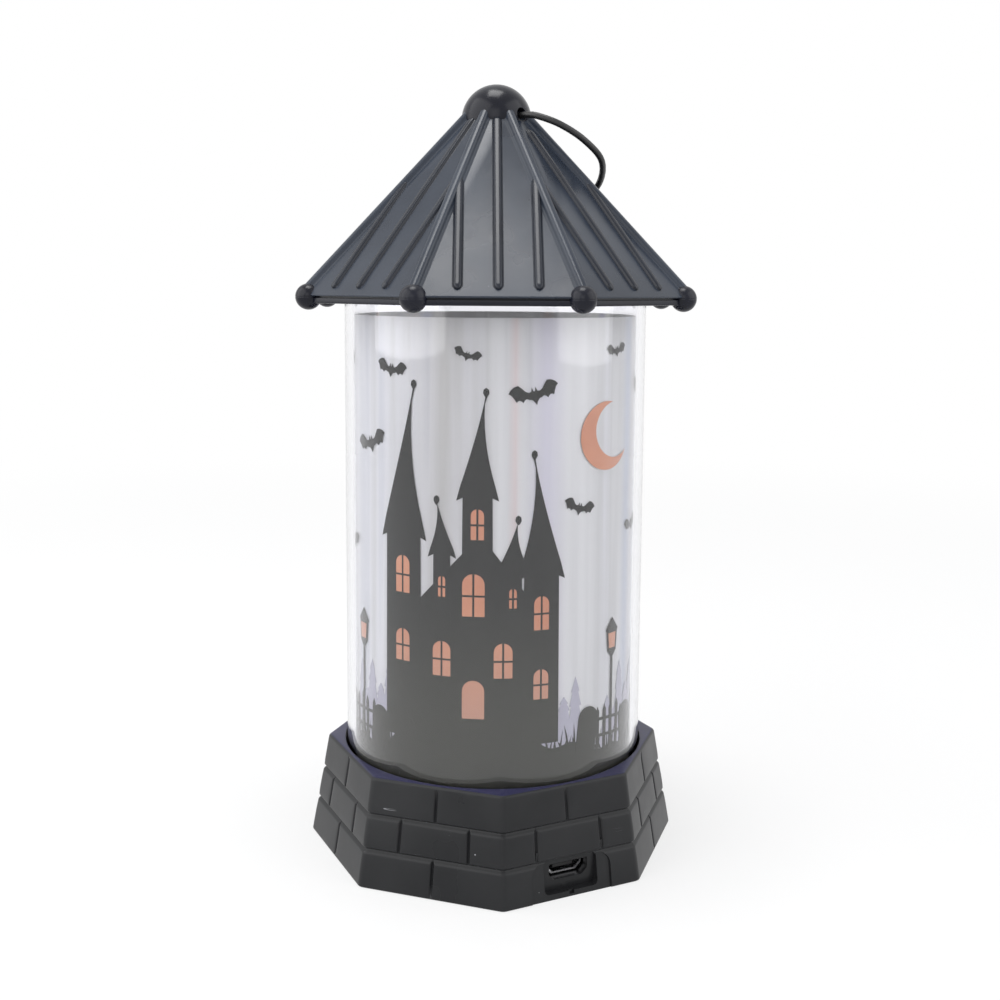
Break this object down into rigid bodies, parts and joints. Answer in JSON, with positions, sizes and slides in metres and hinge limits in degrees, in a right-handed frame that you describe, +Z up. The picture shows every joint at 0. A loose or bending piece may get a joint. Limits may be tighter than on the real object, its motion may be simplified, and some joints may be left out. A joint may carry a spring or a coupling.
{
  "type": "led lantern",
  "caption": "Small table lantern: octagonal brick-pattern base, clear tube with a printed film, ribbed eight-sided roof with a ball finial and a cord loop to hang it by.",
  "frame": {"origin": "middle of the rest face under the base", "axes": "+Z up along the tube and the roof, a corner of the base points to -Y, and the charging face looks 22.5 degrees from -Y towards +X"},
  "size_m": [0.0764, 0.0764, 0.1501],
  "materials": {
    "base_plastic": "satin",
    "roof_plastic": "satin",
    "clear_plastic": "gloss",
    "printed_film": "pearl",
    "black_cord": "satin",
    "socket_steel": "satin",
    "screw_steel": "satin",
    "contact_nickel": "satin",
    "black_plastic": "matte",
    "white_plastic": "satin",
    "circuit_board": "satin",
    "cell_wrap": "gloss",
    "wire_red": "satin",
    "wire_black": "satin",
    "led_lens": "gloss"
  },
  "bodies": {
    "lantern": {"base_plate": "base_plastic", "base_shell": "base_plastic", "battery_cell": "cell_wrap", "battery_wire_black": "wire_black", "battery_wire_red": "wire_red", "board_screw_1": "screw_steel", "board_screw_2": "screw_steel", "cell_tab_minus": "contact_nickel", "cell_tab_plus": "contact_nickel", "clear_tube": "clear_plastic", "control_chip": "black_plastic", "eave_plate": "roof_plastic", "led_1": "led_lens", "led_2": "led_lens", "led_3": "led_lens", "led_4": "led_lens", "led_board": "circuit_board", "led_wire_black": "wire_black", "led_wire_red": "wire_red", "main_board": "circuit_board", "plate_screw_1": "screw_steel", "plate_screw_2": "screw_steel", "plate_screw_3": "screw_steel", "plate_screw_4": "screw_steel", "printed_film": "printed_film", "reflector_disc": "white_plastic", "roof_shell": "roof_plastic", "switch_housing": "socket_steel", "switch_terminal_1": "contact_nickel", "switch_terminal_2": "contact_nickel", "switch_terminal_3": "contact_nickel", "switch_wire_1": "wire_red", "switch_wire_2": "wire_black", "usb_insulator": "black_plastic", "usb_shell": "socket_steel"},
    "switch": {"switch_knob": "white_plastic"},
    "loop": {"loop_cord": "black_cord", "knot_front": "black_cord", "knot_rear": "black_cord"}
  },
  "joints": [
    {"name": "switch_slide", "type": "slide", "parent": "lantern", "child": "switch", "axis": [1, 0, 0], "range_m": [0, 0.0025]},
    {"name": "loop_swing", "type": "hinge", "parent": "lantern", "child": "loop", "pos_m": [0, 0, 0.1437], "axis": [0.6756, -0.7373, 0], "range_deg": [0, 246]}
  ]
}
